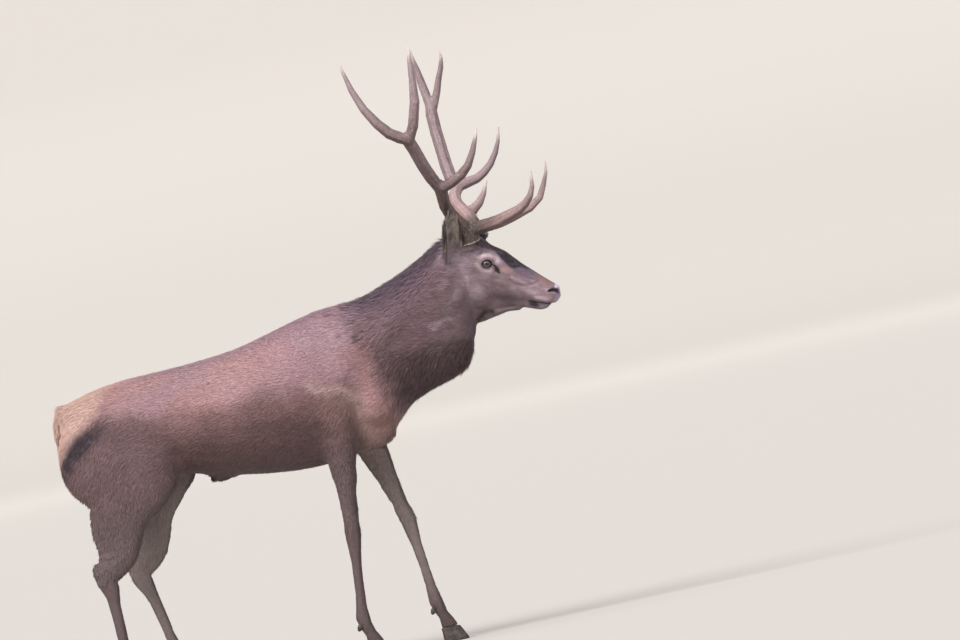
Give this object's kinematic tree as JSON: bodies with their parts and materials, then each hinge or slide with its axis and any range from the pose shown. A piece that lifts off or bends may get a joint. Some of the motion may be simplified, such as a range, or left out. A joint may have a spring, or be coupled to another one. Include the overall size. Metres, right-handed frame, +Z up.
{
  "type": "red deer stag",
  "caption": "Life-size still red deer stag in mid-stride on cloven hooves, head up and turned a little to its right, with branched antlers.",
  "frame": {"origin": "on the floor, level with the hoof soles, under the middle of the whole stag's box", "axes": "+X the way the stag faces, +Y its left side, +Z up; the head and neck turn about ten degrees towards -Y"},
  "size_m": [1.887, 0.761, 2.0666],
  "materials": {
    "coat": "short matt fur over skin: mauve-brown flanks, ochre rump patch, darker crest, legs and face",
    "antler": "hard antler, grooved and pearled brown beams with worn ivory tips",
    "eye": "wet and glossy, brown iris with a wide dark pupil",
    "hoof": "dark horn, faintly ringed, low sheen"
  },
  "bodies": {
    "root": {"antler_left_base": "antler", "antler_left_bez": "antler", "antler_left_brow": "antler", "antler_left_crown_front": "antler", "antler_left_crown_rear": "antler", "antler_left_trez": "antler", "antler_left_upper": "antler", "antler_right_base": "antler", "antler_right_brow": "antler", "antler_right_crown_front": "antler", "antler_right_crown_rear": "antler", "antler_right_trez": "antler", "antler_right_upper": "antler", "ear_left": "coat", "ear_right": "coat", "eye_left": "eye", "eye_right": "eye", "foreleg_left_claw_inner": "hoof", "foreleg_left_claw_outer": "hoof", "foreleg_left_dewclaw_inner": "hoof", "foreleg_left_dewclaw_outer": "hoof", "foreleg_left_lower": "coat", "foreleg_left_upper": "coat", "foreleg_right_claw_inner": "hoof", "foreleg_right_claw_outer": "hoof", "foreleg_right_dewclaw_inner": "hoof", "foreleg_right_dewclaw_outer": "hoof", "foreleg_right_lower": "coat", "foreleg_right_upper": "coat", "head": "coat", "hindleg_left_claw_inner": "hoof", "hindleg_left_claw_outer": "hoof", "hindleg_left_dewclaw_inner": "hoof", "hindleg_left_dewclaw_outer": "hoof", "hindleg_left_lower": "coat", "hindleg_left_upper": "coat", "hindleg_right_claw_inner": "hoof", "hindleg_right_claw_outer": "hoof", "hindleg_right_dewclaw_inner": "hoof", "hindleg_right_dewclaw_outer": "hoof", "hindleg_right_lower": "coat", "hindleg_right_upper": "coat", "neck": "coat", "tail": "coat", "trunk": "coat"}
  },
  "joints": []
}
